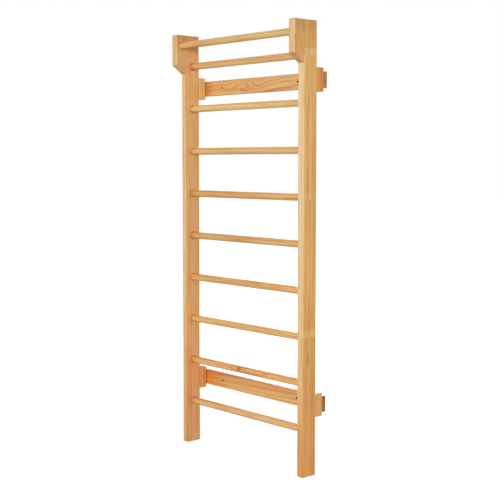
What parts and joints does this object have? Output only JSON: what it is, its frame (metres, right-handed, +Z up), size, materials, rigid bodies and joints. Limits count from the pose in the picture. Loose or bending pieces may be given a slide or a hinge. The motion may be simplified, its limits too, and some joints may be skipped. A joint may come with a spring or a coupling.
{
  "type": "swedish wall bars",
  "caption": "Pine wall bars with round ladder rungs between upright posts, a forward pull-up bar in head blocks at the top, and wall rails behind on spacer blocks.",
  "frame": {"origin": "on the floor, in the middle of the overall width and of the overall depth", "axes": "+X to the right seen from the front, +Y towards the wall, +Z up; the front looks towards -Y"},
  "size_m": [0.908, 0.212, 2.137],
  "materials": {
    "post_pine": "clear satin lacquer on planed pine",
    "rung_pine": "clear satin lacquer on turned pine",
    "rail_pine": "clear satin lacquer on planed pine",
    "spacer_pine": "clear satin lacquer on planed pine",
    "zinc_steel": "zinc plated"
  },
  "bodies": {
    "root": {"left_post": "post_pine", "right_post": "post_pine", "left_head_block": "post_pine", "right_head_block": "post_pine", "rung_1": "rung_pine", "rung_2": "rung_pine", "rung_3": "rung_pine", "rung_4": "rung_pine", "rung_5": "rung_pine", "rung_6": "rung_pine", "rung_7": "rung_pine", "rung_8": "rung_pine", "rung_9": "rung_pine", "pull_up_bar": "rung_pine", "upper_wall_rail": "rail_pine", "lower_wall_rail": "rail_pine", "upper_left_spacer": "spacer_pine", "upper_right_spacer": "spacer_pine", "lower_left_spacer": "spacer_pine", "lower_right_spacer": "spacer_pine", "pull_up_bar_left_screw": "zinc_steel", "pull_up_bar_right_screw": "zinc_steel", "rung_1_left_screw": "zinc_steel", "rung_1_right_screw": "zinc_steel", "rung_2_left_screw": "zinc_steel", "rung_2_right_screw": "zinc_steel", "rung_3_left_screw": "zinc_steel", "rung_3_right_screw": "zinc_steel", "rung_4_left_screw": "zinc_steel", "rung_4_right_screw": "zinc_steel", "rung_5_left_screw": "zinc_steel", "rung_5_right_screw": "zinc_steel", "rung_6_left_screw": "zinc_steel", "rung_6_right_screw": "zinc_steel", "rung_7_left_screw": "zinc_steel", "rung_7_right_screw": "zinc_steel", "rung_8_left_screw": "zinc_steel", "rung_8_right_screw": "zinc_steel", "rung_9_left_screw": "zinc_steel", "rung_9_right_screw": "zinc_steel", "left_head_screw_1": "zinc_steel", "left_head_screw_2": "zinc_steel", "right_head_screw_1": "zinc_steel", "right_head_screw_2": "zinc_steel", "upper_left_rail_screw_1": "zinc_steel", "upper_left_rail_screw_2": "zinc_steel", "upper_right_rail_screw_1": "zinc_steel", "upper_right_rail_screw_2": "zinc_steel", "lower_left_rail_screw_1": "zinc_steel", "lower_left_rail_screw_2": "zinc_steel", "lower_right_rail_screw_1": "zinc_steel", "lower_right_rail_screw_2": "zinc_steel"}
  },
  "joints": []
}
